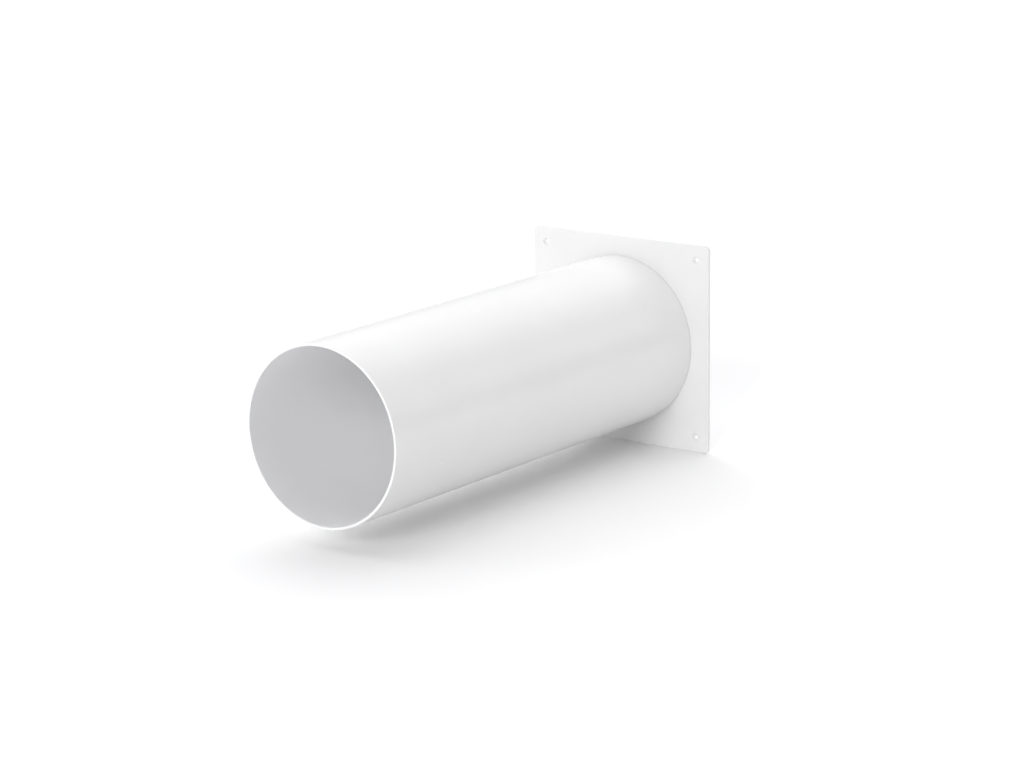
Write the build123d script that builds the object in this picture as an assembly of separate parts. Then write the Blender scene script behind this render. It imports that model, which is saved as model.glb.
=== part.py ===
from build123d import *

import os

# Round wall duct: a rigid extruded pipe pushed on to the spigot of a square moulded wall plate.
# Frame: millimetres, +Z up, the duct's axis along Y. The origin is on that axis in the plate's
# wall face, and the pipe runs from the plate towards -Y, to its open end.

# Pipe
pipe_outer_radius = 62.5
pipe_wall = 1.8
pipe_length = 350.0
pipe_edge_break = 0.4          # both ends, outside and inside, where the saw cut is deburred

# Wall plate
plate_side = 154.0
plate_thickness = 2.5
plate_corner_radius = 4.0
plate_front_edge_radius = 0.6  # soft edge on the pipe's side
plate_wall_edge_break = 0.3    # the mould's parting edge, on the wall's side

# Spigot, moulded in one with the plate, inside the pipe
fit_clearance = 0.08           # on the radius, between the spigot and the pipe
spigot_wall = 2.0
spigot_reach = 30.0            # from the plate's front face
spigot_lead_in = 1.2           # chamfer that guides the pipe on
port_edge_radius = 0.8         # rounded mouth of the air way in the wall face

# Four countersunk screw holes
screw_spacing = 132.0
screw_hole_diameter = 3.2
countersink_diameter = 5.6
countersink_angle = 90.0

# Derived places
pipe_inner_radius = pipe_outer_radius - pipe_wall
spigot_outer_radius = pipe_inner_radius - fit_clearance
spigot_bore_radius = spigot_outer_radius - spigot_wall
plate_front = -plate_thickness
spigot_tip = plate_front - spigot_reach
pipe_open_end = plate_front - pipe_length


def ring(outer_radius, inner_radius, start_y, end_y):
    """A tube round the Y axis, from start_y down to end_y."""
    face_plane = Plane(origin=(0, start_y, 0), x_dir=(1, 0, 0), z_dir=(0, -1, 0))
    with BuildPart() as tube:
        with BuildSketch(face_plane):
            Circle(outer_radius)
            Circle(inner_radius, mode=Mode.SUBTRACT)
        extrude(amount=start_y - end_y)
    return tube.part


def duct_pipe():
    """The pipe, its four end edges broken."""
    with BuildPart() as pipe:
        add(ring(pipe_outer_radius, pipe_inner_radius, plate_front, pipe_open_end))
        chamfer(pipe.edges().filter_by(GeomType.CIRCLE), pipe_edge_break)
    return pipe.part


def wall_plate():
    """The square plate with its spigot, its air way and its four screw holes."""
    wall_plane = Plane(origin=(0, 0, 0), x_dir=(1, 0, 0), z_dir=(0, -1, 0))
    front_plane = wall_plane.offset(plate_thickness)
    with BuildPart() as plate:
        with BuildSketch(wall_plane):
            RectangleRounded(plate_side, plate_side, plate_corner_radius)
        extrude(amount=plate_thickness)
        fillet(plate.faces().sort_by(Axis.Y)[0].edges(), plate_front_edge_radius)
        chamfer(plate.faces().sort_by(Axis.Y)[-1].edges(), plate_wall_edge_break)

        with BuildSketch(front_plane):
            Circle(spigot_outer_radius)
        extrude(amount=spigot_reach)
        chamfer(plate.faces().sort_by(Axis.Y)[0].edges(), spigot_lead_in)

        with BuildSketch(wall_plane):
            Circle(spigot_bore_radius)
        extrude(amount=plate_thickness + spigot_reach, mode=Mode.SUBTRACT)
        port_edge = plate.faces().sort_by(Axis.Y)[-1].edges().filter_by(GeomType.CIRCLE)
        fillet(port_edge.sort_by(Edge.length)[-1], port_edge_radius)

        with Locations(front_plane):
            with GridLocations(screw_spacing, screw_spacing, 2, 2):
                CounterSinkHole(
                    radius=screw_hole_diameter / 2,
                    counter_sink_radius=countersink_diameter / 2,
                    depth=plate_thickness,
                    counter_sink_angle=countersink_angle,
                )
    return plate.part


os.makedirs("parts", exist_ok=True)
sub_parts = {"duct_pipe": duct_pipe(), "wall_plate": wall_plate()}
for node, solid in sub_parts.items():
    solid.label = node
    export_step(solid, f"parts/{node}.step")
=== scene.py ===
import math

import bmesh
import bpy
from mathutils import Matrix, Vector, noise


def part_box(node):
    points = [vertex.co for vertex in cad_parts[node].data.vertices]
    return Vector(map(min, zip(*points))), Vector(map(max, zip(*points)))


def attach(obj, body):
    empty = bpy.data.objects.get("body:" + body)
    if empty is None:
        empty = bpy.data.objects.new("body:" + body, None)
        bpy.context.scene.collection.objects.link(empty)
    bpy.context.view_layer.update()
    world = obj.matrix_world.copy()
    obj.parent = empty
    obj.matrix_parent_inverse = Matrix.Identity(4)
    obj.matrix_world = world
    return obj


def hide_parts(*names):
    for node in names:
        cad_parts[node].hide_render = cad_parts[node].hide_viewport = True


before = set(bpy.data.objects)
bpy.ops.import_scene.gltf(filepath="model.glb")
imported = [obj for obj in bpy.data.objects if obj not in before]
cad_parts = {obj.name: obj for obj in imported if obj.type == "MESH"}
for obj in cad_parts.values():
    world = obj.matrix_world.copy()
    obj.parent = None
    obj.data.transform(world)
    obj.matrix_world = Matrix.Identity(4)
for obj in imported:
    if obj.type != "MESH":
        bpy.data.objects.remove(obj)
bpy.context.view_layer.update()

# A rigid round wall duct: a plain white pipe pushed on to the spigot of a thin square wall plate.
# Metres, +Z up, the duct's axis along Y. The wall is on the +Y side and the open end looks to -Y.

mm = 0.001
pipeLow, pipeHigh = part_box("duct_pipe")
plateLow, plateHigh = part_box("wall_plate")
print("frame loaded, pipe length", round((pipeHigh.y - pipeLow.y) / mm, 1), "mm")


class Wire:
    # one output of a node: Python's operators on it add Math nodes to the same material
    def __init__(self, tree, socket=None):
        self.tree = tree
        self.socket = socket

    def make(self, nodeType, settings, sockets, output=0):
        # any node: its settings come first, then a value or a Wire for each socket
        node = self.tree.nodes.new(nodeType)
        for name, value in settings.items():
            setattr(node, name, value)
        for name, value in sockets.items():
            if isinstance(value, Wire):
                self.tree.links.new(value.socket, node.inputs[name])
            else:
                node.inputs[name].default_value = value
        return Wire(self.tree, node.outputs[output] if len(node.outputs) else None)

    def math(self, operation, *terms):
        return self.make("ShaderNodeMath", {"operation": operation}, dict(enumerate(terms)))

    def __add__(self, other):
        return self.math("ADD", self, other)

    def __radd__(self, other):
        return self.math("ADD", other, self)

    def __sub__(self, other):
        return self.math("SUBTRACT", self, other)

    def __rsub__(self, other):
        return self.math("SUBTRACT", other, self)

    def __mul__(self, other):
        return self.math("MULTIPLY", self, other)

    def __rmul__(self, other):
        return self.math("MULTIPLY", other, self)

    def __pow__(self, other):
        return self.math("POWER", self, other)

    def __rpow__(self, other):
        return self.math("POWER", other, self)


def newMaterial(name):
    material = bpy.data.materials.new(name)
    material.use_nodes = True
    material.node_tree.nodes.clear()
    return material, Wire(material.node_tree)


def objectPlace(start):
    # the point being shaded, in metres in the part's own frame, as one vector and as x, y and z
    place = start.make("ShaderNodeTexCoord", {}, {}, "Object")
    return place, [place.make("ShaderNodeSeparateXYZ", {}, {"Vector": place}, axis) for axis in "XYZ"]


def stretched(place, scale, offset=(0.0, 0.0, 0.0)):
    return place.make("ShaderNodeMapping", {}, {"Vector": place, "Scale": scale, "Location": offset})


def grain(place, scale, detail, rough):
    sockets = {"Vector": place, "Scale": scale, "Detail": detail, "Roughness": rough}
    return place.make("ShaderNodeTexNoise", {}, sockets, "Fac")


def step(value, low, high):
    # 0 at low and 1 at high, with a soft change between
    sockets = {"Value": value, "From Min": low, "From Max": high}
    return value.make("ShaderNodeMapRange", {"interpolation_type": "SMOOTHSTEP"}, sockets)


def colourOf(level):
    # a colour socket takes four numbers, and a Wire goes in as it is
    return level if isinstance(level, Wire) else (*level, 1.0)


def mixColour(amount, first, second):
    # the colour version of a Mix node has its sockets at 0, 6 and 7 and its result at 2
    sockets = {0: amount, 6: colourOf(first), 7: colourOf(second)}
    return amount.make("ShaderNodeMix", {"data_type": "RGBA"}, sockets, 2)


def raised(height):
    # a bump from a height in metres
    sockets = {"Strength": 1.0, "Distance": 1.0, "Height": height}
    return height.make("ShaderNodeBump", {}, sockets, "Normal")


def finishSurface(start, sockets):
    # what varies over a surface comes in as wires, and what doesn't is set on the shader
    shader = start.make("ShaderNodeBsdfPrincipled", {}, sockets)
    start.make("ShaderNodeOutputMaterial", {}, {"Surface": shader})


# a grain is three numbers: how many to a metre, its detail and its roughness
pipeFinish = {
    "colour": (0.886, 0.886, 0.880),
    "shade": (0.873, 0.873, 0.867),        # slow patches in the colour
    # painted shade: the skin's colour underneath, darker where less light falls
    "paintedUndersideShade": (0.785, 0.785, 0.779),
    "liningLitMouth": (0.915, 0.915, 0.922),  # inside, from the open end: painted lighter than the skin as painted light
    "liningLitDeep": (0.982, 0.982, 0.989),   # inside, further in: painted lighter still, painted light where less light reaches
    "cutColour": (0.95, 0.95, 0.95),       # the sawn ends
    # the colour of the dust specks and handling marks, and also of the seam's painted shade
    "darkeningColour": (0.62, 0.60, 0.57),
    "paintedUndersideMix": 0.6,
    "paintedUndersideSpan": (15 * mm, -45 * mm),  # heights from the axis between which it comes in
    "mouthLength": 120 * mm,               # from the open end to where the lining's painted light is full
    "wallSpan": (61.0 * mm, 62.2 * mm),    # radii between which the inside becomes the outside
    "patchSpan": (0.35, 0.7),
    "dustSpan": (0.72, 0.80),
    "rubSpan": (0.52, 0.7),
    "cutSpan": (0.55, 0.95),
    "cutMix": 0.9,
    "speckDust": 0.05,
    "handledDust": 0.008,
    "handledLength": 30 * mm,              # of the open end, where hands hold the pipe
    # painted shade where the pipe's skin meets the plate
    "seamShade": 0.3,
    "seamShadeStart": 2.6 * mm,                 # from the plate, where the seam's painted shade starts
    "seamShadeFull": 0.3 * mm,
    "rough": 0.24,
    "lineRough": 0.10,
    "patchRough": 0.08,
    "handledRough": 0.015,
    "insideRough": 0.10,
    "cutRough": 0.22,
    "dieLine": 0.012 * mm,                 # depth of the lines that the extruder's die leaves along the pipe
    "broadShare": 0.7,                     # of that depth, and the fine lines have the rest
    "orangePeel": 0.03 * mm,               # waves in the skin, about 8 mm across
    "sawMark": 0.05 * mm,                  # fine streaks that the saw leaves across the cut ends
    "lineStretch": (1.0, 0.012, 1.0),
    "fineLines": (1500.0, 3.0, 0.6),
    "broadLines": (220.0, 2.0, 0.5),
    "peelGrain": (120.0, 2.0, 0.45),
    "dustGrain": (2600.0, 2.0, 0.7),
    "patchGrain": (14.0, 3.0, 0.55),
    "rubStretch": (60.0, 900.0, 60.0),
    "rubOffset": (3.1, 0.4, 1.7),
    "rubGrain": (1.0, 3.0, 0.65),
    "sawStretch": (420.0, 40.0, 5200.0),
    "sawGrain": (1.0, 2.0, 0.6),
    "ior": 1.5,
}


def makePipePlastic():
    look = pipeFinish
    material, start = newMaterial("pipePlastic")
    place, (x, y, z) = objectPlace(start)
    radius = start.math("SQRT", x * x + z * z)

    along = stretched(place, look["lineStretch"])
    fineLines = grain(along, *look["fineLines"])
    broadLines = grain(along, *look["broadLines"])
    peel = grain(place, *look["peelGrain"])
    dust = grain(place, *look["dustGrain"])
    patches = grain(place, *look["patchGrain"])
    rubs = grain(stretched(place, look["rubStretch"], look["rubOffset"]), *look["rubGrain"])
    sawStreaks = grain(stretched(place, look["sawStretch"]), *look["sawGrain"])

    # the ends are sawn: only there does the surface face along the pipe
    normal = start.make("ShaderNodeNewGeometry", {}, {}, "True Normal")
    facing = normal.make("ShaderNodeSeparateXYZ", {}, {"Vector": normal}, "Y")
    cutFace = step(start.math("ABSOLUTE", facing), *look["cutSpan"])

    # hands touch the open end most, and its skin is a little duller there
    handled = step(y, pipeLow.y + look["handledLength"], pipeLow.y) * step(rubs, *look["rubSpan"])
    inside = 1 - step(radius, *look["wallSpan"])
    atSeamShade = step(y, pipeHigh.y - look["seamShadeStart"], pipeHigh.y - look["seamShadeFull"]) * (1 - inside)

    # painted shade: the skin is painted darker underneath, where less light falls. Painted light: the lining
    # is lighter than the skin, a touch greyer near the open end and lighter further in, where less light
    # reaches
    skin = mixColour(step(patches, *look["patchSpan"]), look["colour"], look["shade"])
    skin = mixColour(step(z, *look["paintedUndersideSpan"]) * look["paintedUndersideMix"], skin, look["paintedUndersideShade"])
    liningLightShare = step(y, pipeLow.y, pipeLow.y + look["mouthLength"])
    paintedLitLining = mixColour(liningLightShare, look["liningLitMouth"], look["liningLitDeep"])
    darkening = step(dust, *look["dustSpan"]) * look["speckDust"] + handled * look["handledDust"]
    # painted shade: the skin is darkened just before the plate, where shade falls between the parts
    darkening = darkening + atSeamShade * look["seamShade"]
    darkened = mixColour(darkening, mixColour(inside, skin, paintedLitLining), look["darkeningColour"])
    colour = mixColour(cutFace * look["cutMix"], darkened, look["cutColour"])

    rough = look["rough"] + (fineLines - 0.5) * look["lineRough"] + (patches - 0.5) * look["patchRough"]
    rough = rough + handled * look["handledRough"] + inside * look["insideRough"]
    rough = rough + cutFace * look["cutRough"]

    broadDepth = look["dieLine"] * look["broadShare"]
    lines = broadLines * broadDepth + fineLines * (look["dieLine"] - broadDepth)
    height = (lines + peel * look["orangePeel"]) * (1 - cutFace)
    height = height + sawStreaks * cutFace * look["sawMark"]
    finishSurface(start, {
        "Base Color": colour, "Roughness": rough, "Normal": raised(height), "IOR": look["ior"]})
    return material


plateFinish = {
    "colour": (0.852, 0.852, 0.849),
    "shade": (0.838, 0.838, 0.835),        # slow patches in the colour
    "shadedWallFace": (0.76, 0.76, 0.755),       # the face against the wall, painted darker as painted shade against the strong light from behind
    "darkeningColour": (0.62, 0.60, 0.57),
    "wallSpan": (-0.35 * mm, -0.05 * mm),  # from the wall, where that face's finish and painted shade come in
    "patchSpan": (0.35, 0.7),
    "dustSpan": (0.72, 0.80),
    "rubSpan": (0.6, 0.75),
    "speckDust": 0.05,
    "scuffDust": 0.06,
    "wallScuff": 0.8,
    "edgeScuff": 0.5,
    "edgeStart": 1.6 * mm,                 # in from the plate's edges, where their scuffs start
    "edgeFull": 0.2 * mm,
    "rough": 0.36,
    "sparkRough": 0.10,
    "patchRough": 0.06,
    "wallRough": 0.12,
    "scuffRough": 0.10,
    "sparkDepth": 0.012 * mm,              # fine texture that the mould's spark-eroded steel leaves
    "fineShare": 0.6,                      # of that depth, and the coarse texture has the rest
    "flowDepth": 0.0012 * mm,              # faint ripples where the melt ran round the port
    "flowPitch": 900.0,                    # radians to a metre
    "flowWander": 14.0,                    # radians
    "flowGrain": (22.0, 1.0, 0.4),
    "sparkGrain": (3200.0, 3.0, 0.6),
    "coarseGrain": (900.0, 2.0, 0.5),
    "patchGrain": (18.0, 3.0, 0.5),
    "dustOffset": (0.3, 0.2, 0.7),
    "dustGrain": (2400.0, 2.0, 0.7),
    "rubStretch": (900.0, 60.0, 50.0),
    "rubOffset": (0.9, 0.1, 0.3),
    "rubGrain": (1.0, 3.0, 0.65),
    "ior": 1.49,
}


def makePlatePlastic():
    look = plateFinish
    material, start = newMaterial("platePlastic")
    place, (x, y, z) = objectPlace(start)
    radius = start.math("SQRT", x * x + z * z)

    spark = grain(place, *look["sparkGrain"])
    coarse = grain(place, *look["coarseGrain"])
    patches = grain(place, *look["patchGrain"])
    dust = grain(stretched(place, (1.0, 1.0, 1.0), look["dustOffset"]), *look["dustGrain"])
    rubs = grain(stretched(place, look["rubStretch"], look["rubOffset"]), *look["rubGrain"])
    wander = grain(place, *look["flowGrain"]) * look["flowWander"]
    flowRings = start.math("SINE", radius * look["flowPitch"] + wander)

    shadedWallFace = step(y, *look["wallSpan"])
    edgeReach = start.math("MAXIMUM", start.math("ABSOLUTE", x), start.math("ABSOLUTE", z))
    atEdge = step(edgeReach, plateHigh.x - look["edgeStart"], plateHigh.x - look["edgeFull"])
    scuff = step(rubs, *look["rubSpan"]) * (shadedWallFace * look["wallScuff"] + atEdge * look["edgeScuff"])

    tint = mixColour(step(patches, *look["patchSpan"]), look["colour"], look["shade"])
    # painted shade: the face against the wall is painted darker
    tint = mixColour(shadedWallFace, tint, look["shadedWallFace"])
    darkening = step(dust, *look["dustSpan"]) * look["speckDust"] + scuff * look["scuffDust"]
    colour = mixColour(darkening, tint, look["darkeningColour"])

    rough = look["rough"] + (spark - 0.5) * look["sparkRough"] + (patches - 0.5) * look["patchRough"]
    rough = rough + shadedWallFace * look["wallRough"] + scuff * look["scuffRough"]

    fineDepth = look["sparkDepth"] * look["fineShare"]
    height = spark * fineDepth + coarse * (look["sparkDepth"] - fineDepth)
    height = height + spark * shadedWallFace * look["sparkDepth"] + flowRings * look["flowDepth"]
    finishSurface(start, {
        "Base Color": colour, "Roughness": rough, "Normal": raised(height), "IOR": look["ior"]})
    return material


def ringAt(mesh, radius, y, count, centre):
    points = []
    for index in range(count):
        turn = math.tau * index / count
        point = (centre[0] + radius * math.cos(turn), y, centre[1] + radius * math.sin(turn))
        points.append(mesh.verts.new(point))
    return points


def bandBetween(mesh, first, second):
    # one strip of quads between two closed loops of as many points
    count = len(first)
    for index in range(count):
        after = (index + 1) % count
        mesh.faces.new((first[index], first[after], second[after], second[index]))


def stackBands(mesh, loops):
    for first, second in zip(loops, loops[1:]):
        bandBetween(mesh, first, second)


def turnOutline(mesh, outline, count, centre=(0.0, 0.0)):
    # an outline's points, each a radius and a y, turned round the duct's axis or a hole's
    loops = [ringAt(mesh, radius, y, count, centre) for radius, y in outline]
    stackBands(mesh, loops)
    return loops


def loopEdges(mesh, loop):
    return [mesh.edges.get((loop[index - 1], loop[index])) for index in range(len(loop))]


def fillFlat(mesh, loops):
    edges = [edge for loop in loops for edge in loopEdges(mesh, loop)]
    bmesh.ops.triangle_fill(mesh, use_beauty=True, use_dissolve=False, edges=edges)


def quarterRound(fromPoint, toPoint, corner, steps):
    # an outline's rounded corner: from one point to the other, bulging towards the corner
    points = []
    for index in range(steps + 1):
        turn = math.pi / 2 * index / steps
        fromShare = 1 - math.sin(turn)
        toShare = 1 - math.cos(turn)
        points.append(tuple(
            middle + (start - middle) * fromShare + (end - middle) * toShare
            for start, end, middle in zip(fromPoint, toPoint, corner)))
    return points


def meshObject(name, mesh, material, body, *nodes):
    bmesh.ops.recalc_face_normals(mesh, faces=mesh.faces)
    data = bpy.data.meshes.new(name)
    mesh.to_mesh(data)
    mesh.free()
    data.materials.append(material)
    data.polygons.foreach_set("use_smooth", [True] * len(data.polygons))
    piece = bpy.data.objects.new(name, data)
    bpy.context.scene.collection.objects.link(piece)
    piece.modifiers.new("flatFacesLead", "WEIGHTED_NORMAL")
    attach(piece, body)
    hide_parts(*nodes)
    return piece


pipeShape = {
    "wall": 1.8 * mm,
    "edgeRound": 0.38 * mm,
    "edgeSteps": 5,
    "seamRound": 0.65 * mm,        # the end against the plate, where a fine shadow line shows
    "seamSteps": 6,
    "around": 288,
    "rowLength": 10 * mm,
    "sawWander": 0.025 * mm,       # how far the open end's saw cut wanders either way
    "wanderPitch": 160.0,          # how often, to a metre
}


def makeDuctPipe(material):
    shape = pipeShape
    outer = pipeHigh.x
    inner = outer - shape["wall"]
    back, front = pipeHigh.y, pipeLow.y
    soft, seam = shape["edgeRound"], shape["seamRound"]
    steps, seamSteps = shape["edgeSteps"], shape["seamSteps"]
    rows = round((back - front) / shape["rowLength"])
    spans = [back - seam + (front - back + soft + seam) * index / rows for index in range(rows + 1)]

    outline = [(outer, y) for y in spans]
    outline += quarterRound((outer, front + soft), (outer - soft, front), (outer, front), steps)[1:]
    outline += quarterRound((inner + soft, front), (inner, front + soft), (inner, front), steps)
    outline += [(inner, y) for y in reversed(spans[:-1])]
    outline += quarterRound((inner, back - seam), (inner + soft, back), (inner, back), steps)[1:]
    outline += quarterRound((outer - seam, back), (outer, back - seam), (outer, back), seamSteps)[:-1]

    mesh = bmesh.new()
    loops = turnOutline(mesh, outline, shape["around"])
    bandBetween(mesh, loops[-1], loops[0])
    for vert in mesh.verts:
        if vert.co.y < front + 2 * soft:
            wander = noise.noise(Vector((vert.co.x, 0.0, vert.co.z)) * shape["wanderPitch"])
            vert.co.y += shape["sawWander"] * (wander + 1)
    piece = meshObject("ductPipe", mesh, material, "pipe", "duct_pipe")
    print("pipe turned,", len(piece.data.polygons), "faces")


plateShape = {
    "thickness": 2.5 * mm,
    "cornerRadius": 4.0 * mm,
    "frontRound": 0.6 * mm,
    "backRound": 0.25 * mm,
    "spigotRadius": 60.62 * mm,
    "spigotWall": 2.0 * mm,
    "spigotRoot": 0.25 * mm,
    "spigotRows": (0.25, 0.5, 0.75),   # rings along the spigot, as shares of its length
    "leadIn": 1.2 * mm,
    "portRound": 0.8 * mm,
    "screwReach": 66.0 * mm,           # from the axis to each screw hole, across and up
    "screwHole": 1.6 * mm,
    "countersink": 2.8 * mm,
    "holeSoft": 0.12 * mm,
    "sinkSoft": 0.072 * mm,            # how deep the countersink's softened rim goes
    "pinMark": 2.5 * mm,               # round marks that the mould's ejector pins leave in the wall face
    "pinDepth": 0.06 * mm,
    "pinReach": (68.0 * mm, 52.5 * mm),
    "around": 288,
    "holeSteps": 48,
    "cornerSteps": 14,
    "sideSteps": 24,
    "broadSteps": 6,                   # in the rounding of the front edge and the port
    "rootSteps": 4,
    "fineSteps": 3,                    # in every smaller rounding
}


def squareAt(mesh, inset, y):
    # the plate's outline, drawn in by inset, its corner radius drawn in with it
    half = plateHigh.x - inset
    radius = plateShape["cornerRadius"] - inset
    steps = plateShape["cornerSteps"]
    flat = half - radius
    points = []
    for corner in range(4):
        turn = math.pi / 2 * corner
        across = Vector((math.cos(turn), 0.0, math.sin(turn)))
        upward = Vector((-math.sin(turn), 0.0, math.cos(turn)))
        for index in range(1, plateShape["sideSteps"]):
            reach = -flat + 2 * flat * index / plateShape["sideSteps"]
            points.append(across * half + upward * reach)
        centre = across * flat + upward * flat
        for index in range(steps + 1):
            bend = math.pi / 2 * index / steps
            points.append(centre + (across * math.cos(bend) + upward * math.sin(bend)) * radius)
    return [mesh.verts.new((point.x, y, point.z)) for point in points]


def makeRim(mesh, front, back):
    # the plate's edge all round, from the pipe's side to the wall's
    shape = plateShape
    soft, wallSoft = shape["frontRound"], shape["backRound"]
    outline = quarterRound((soft, front), (0.0, front + soft), (0.0, front), shape["broadSteps"])
    outline += quarterRound((0.0, back - wallSoft), (wallSoft, back), (0.0, back), shape["fineSteps"])
    rim = [squareAt(mesh, inset, y) for inset, y in outline]
    stackBands(mesh, rim)
    return rim


def makeSpigot(mesh, front, back):
    # out along the spigot, round its tip and back through the air way to the wall face
    shape = plateShape
    outer = shape["spigotRadius"]
    inner = outer - shape["spigotWall"]
    tip = plateLow.y
    root, soft, lead, port = shape["spigotRoot"], shape["holeSoft"], shape["leadIn"], shape["portRound"]
    edge = outer - lead
    outline = quarterRound((outer + root, front), (outer, front - root), (outer, front), shape["rootSteps"])
    outline += [(outer, front + (tip - front) * share) for share in shape["spigotRows"]]
    outline += [(outer, tip + lead), (outer - lead / 2, tip + lead / 2)]
    outline += quarterRound((edge + soft, tip + soft), (edge - soft, tip), (edge, tip), shape["fineSteps"])
    outline += quarterRound((inner + soft, tip), (inner, tip + soft), (inner, tip), shape["fineSteps"])
    outline += [(inner, tip + (back - tip) * share) for share in shape["spigotRows"]]
    outline += quarterRound((inner, back - port), (inner + port, back), (inner, back), shape["broadSteps"])
    return turnOutline(mesh, outline, shape["around"])


def makeScrewHoles(mesh, front, back):
    shape = plateShape
    hole, soft = shape["screwHole"], shape["holeSoft"]
    sink, sinkSoft = shape["countersink"], shape["sinkSoft"]
    outline = [(sink + soft, front), (sink, front + sinkSoft), (hole, front + sink - hole + sinkSoft)]
    outline += quarterRound((hole, back - soft), (hole + soft, back), (hole, back), shape["fineSteps"])
    reach = shape["screwReach"]
    centres = [(across * reach, upward * reach) for across in (-1, 1) for upward in (-1, 1)]
    return [turnOutline(mesh, outline, shape["holeSteps"], centre) for centre in centres]


def makePinMarks(mesh, back):
    # in the middle of each side and in three of the corners
    shape = plateShape
    side, corner = shape["pinReach"]
    radius, floor = shape["pinMark"], back - shape["pinDepth"]
    outline = [(radius + shape["holeSoft"], back), (radius, floor), (radius / 2, floor)]
    centres = [(side, 0), (-side, 0), (0, side), (0, -side)]
    centres += [(corner, corner), (corner, -corner), (-corner, corner)]
    marks = []
    for centre in centres:
        marks.append(turnOutline(mesh, outline, shape["holeSteps"], centre))
        mesh.faces.new(marks[-1][-1])
    return marks


def makeWallPlate(material):
    front, back = plateHigh.y - plateShape["thickness"], plateHigh.y
    mesh = bmesh.new()
    through = [makeRim(mesh, front, back), makeSpigot(mesh, front, back)]
    through += makeScrewHoles(mesh, front, back)
    marks = makePinMarks(mesh, back)
    fillFlat(mesh, [loops[0] for loops in through])
    fillFlat(mesh, [loops[-1] for loops in through] + [loops[0] for loops in marks])
    piece = meshObject("wallPlate", mesh, material, "plate", "wall_plate")
    print("plate moulded,", len(piece.data.polygons), "faces")


def directionTo(azimuth, elevation):
    # degrees round from the open end, counted towards +X, and degrees up
    turn, rise = math.radians(azimuth), math.radians(elevation)
    return Vector((math.sin(turn) * math.cos(rise), -math.cos(turn) * math.cos(rise), math.sin(rise)))


studioFloor = {
    "size": 14.0,
    "cuts": 12,
    "colour": (0.985, 0.985, 0.987),
    "rough": 0.75,
    "cloudRough": 0.1,
    "cloudGrain": (3.0, 2.0, 0.5),
    "gloss": 0.1,
}


def makeFloor():
    mesh = bmesh.new()
    half = studioFloor["size"] / 2
    corners = [(-half, -half, 0.0), (half, -half, 0.0), (half, half, 0.0), (-half, half, 0.0)]
    mesh.faces.new([mesh.verts.new(corner) for corner in corners])
    bmesh.ops.subdivide_edges(mesh, edges=mesh.edges, cuts=studioFloor["cuts"], use_grid_fill=True)
    data = bpy.data.meshes.new("studioFloor")
    mesh.to_mesh(data)
    mesh.free()
    floor = bpy.data.objects.new("studioFloor", data)
    bpy.context.scene.collection.objects.link(floor)
    floor.location.z = plateLow.z
    material, start = newMaterial("floorPaint")
    clouds = grain(start.make("ShaderNodeTexCoord", {}, {}, "Object"), *studioFloor["cloudGrain"])
    finishSurface(start, {
        "Base Color": colourOf(studioFloor["colour"]),
        "Roughness": studioFloor["rough"] + (clouds - 0.5) * studioFloor["cloudRough"],
        "Specular IOR Level": studioFloor["gloss"],
    })
    data.materials.append(material)


studioAir = {
    "colour": (1.0, 1.0, 1.01),
    "backdropColour": (1.0, 1.0, 1.0),
    "backdropLevel": 1.1,
}

# most of the light is from the studio's white panels, each a soft glow in the air round the object:
# where its middle is, how tight it is, and how bright
whitePanels = {
    "frontLeft": {"azimuth": -60.0, "elevation": 9.0, "tightness": 16.0, "level": 1.86},
    "frontRight": {"azimuth": 20.0, "elevation": 9.0, "tightness": 16.0, "level": 1.82},
    "backRight": {"azimuth": 150.0, "elevation": 14.0, "tightness": 50.0, "level": 1.15},
    "backLeft": {"azimuth": -144.0, "elevation": 6.0, "tightness": 40.0, "level": 0.3},
    "highRight": {"azimuth": 120.0, "elevation": 34.0, "tightness": 11.0, "level": 0.81},
    "highBack": {"azimuth": 180.0, "elevation": 34.0, "tightness": 11.0, "level": 1.23},
    "highLeft": {"azimuth": -120.0, "elevation": 34.0, "tightness": 11.0, "level": 2.57},
    "highFront": {"azimuth": -60.0, "elevation": 34.0, "tightness": 11.0, "level": 0.81},
    "steepBack": {"azimuth": 180.0, "elevation": 48.0, "tightness": 14.0, "level": 0.40},
    "steepLeft": {"azimuth": -150.0, "elevation": 44.0, "tightness": 14.0, "level": 0.36},
    "overhead": {"azimuth": 0.0, "elevation": 90.0, "tightness": 8.0, "level": 1.79},
}


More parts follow.
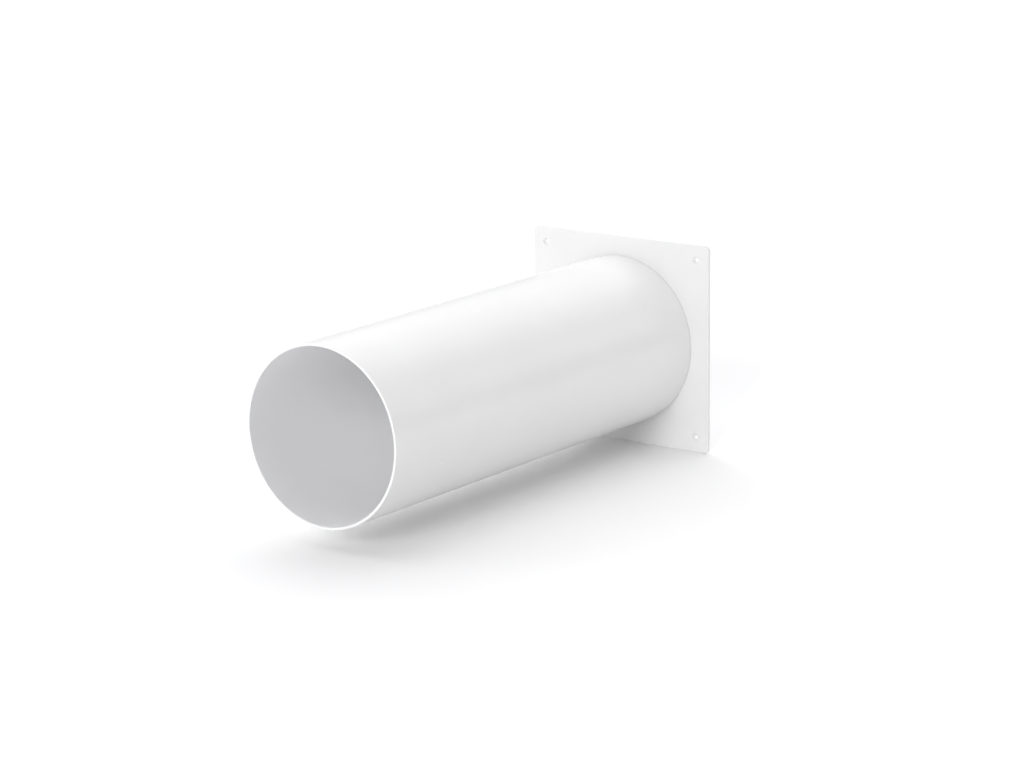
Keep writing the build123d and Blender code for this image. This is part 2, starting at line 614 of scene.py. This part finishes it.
def makeSky():
    world = bpy.data.worlds.new("studioAir")
    bpy.context.scene.world = world
    world.use_nodes = True
    world.node_tree.nodes.clear()
    start = Wire(world.node_tree)
    outward = start.make("ShaderNodeTexCoord", {}, {}, "Generated")
    glow = 0.0
    for panel in whitePanels.values():
        between = {0: outward, 1: directionTo(panel["azimuth"], panel["elevation"])}
        facing = outward.make("ShaderNodeVectorMath", {"operation": "DOT_PRODUCT"}, between, "Value")
        glow = glow + start.math("MAXIMUM", facing, 0.0) ** panel["tightness"] * panel["level"]
    lighting = start.make("ShaderNodeBackground", {}, {
        "Color": colourOf(studioAir["colour"]), "Strength": glow})
    backdrop = start.make("ShaderNodeBackground", {}, {
        "Color": colourOf(studioAir["backdropColour"]), "Strength": studioAir["backdropLevel"]})
    seen = start.make("ShaderNodeLightPath", {}, {}, "Is Camera Ray")
    both = start.make("ShaderNodeMixShader", {}, {0: seen, 1: lighting, 2: backdrop})
    start.make("ShaderNodeOutputWorld", {}, {"Surface": both})


# one broad softbox casts the shadow: degrees round and up, as for the panels, and degrees across
keyLight = {"azimuth": 16.0, "elevation": 23.0, "across": 20.0, "strength": 1.03}


def makeKeyLight():
    data = bpy.data.lights.new("keyLight", "SUN")
    data.angle = math.radians(keyLight["across"])
    data.energy = keyLight["strength"]
    lamp = bpy.data.objects.new("keyLight", data)
    away = directionTo(keyLight["azimuth"], keyLight["elevation"])
    lamp.rotation_euler = away.to_track_quat("Z", "Y").to_euler()
    bpy.context.scene.collection.objects.link(lamp)


cameraPlace = {
    "target": Vector((0.0145, -0.15875, -0.0012)),
    "azimuth": 35.95,
    "elevation": 13.51,
    "roll": -0.6,
    "distance": 2.278,
    "lens": 114.83,
    "sensor": 36.0,
}


def makeCamera():
    backward = directionTo(cameraPlace["azimuth"], cameraPlace["elevation"])
    right = Vector((0.0, 0.0, 1.0)).cross(backward).normalized()
    upward = backward.cross(right)
    tilt = math.radians(cameraPlace["roll"])
    tiltedRight = right * math.cos(tilt) + upward * math.sin(tilt)
    tiltedUp = upward * math.cos(tilt) - right * math.sin(tilt)
    data = bpy.data.cameras.new("studioCamera")
    data.lens = cameraPlace["lens"]
    data.sensor_width = cameraPlace["sensor"]
    camera = bpy.data.objects.new("studioCamera", data)
    turned = Matrix((tiltedRight, tiltedUp, backward)).transposed().to_4x4()
    place = cameraPlace["target"] + backward * cameraPlace["distance"]
    camera.matrix_world = Matrix.Translation(place) @ turned
    bpy.context.scene.collection.objects.link(camera)
    bpy.context.scene.camera = camera


makeDuctPipe(makePipePlastic())
makeWallPlate(makePlatePlastic())
makeFloor()
makeSky()
makeKeyLight()
makeCamera()
bpy.context.scene.view_settings.view_transform = "Standard"
print("studio set")
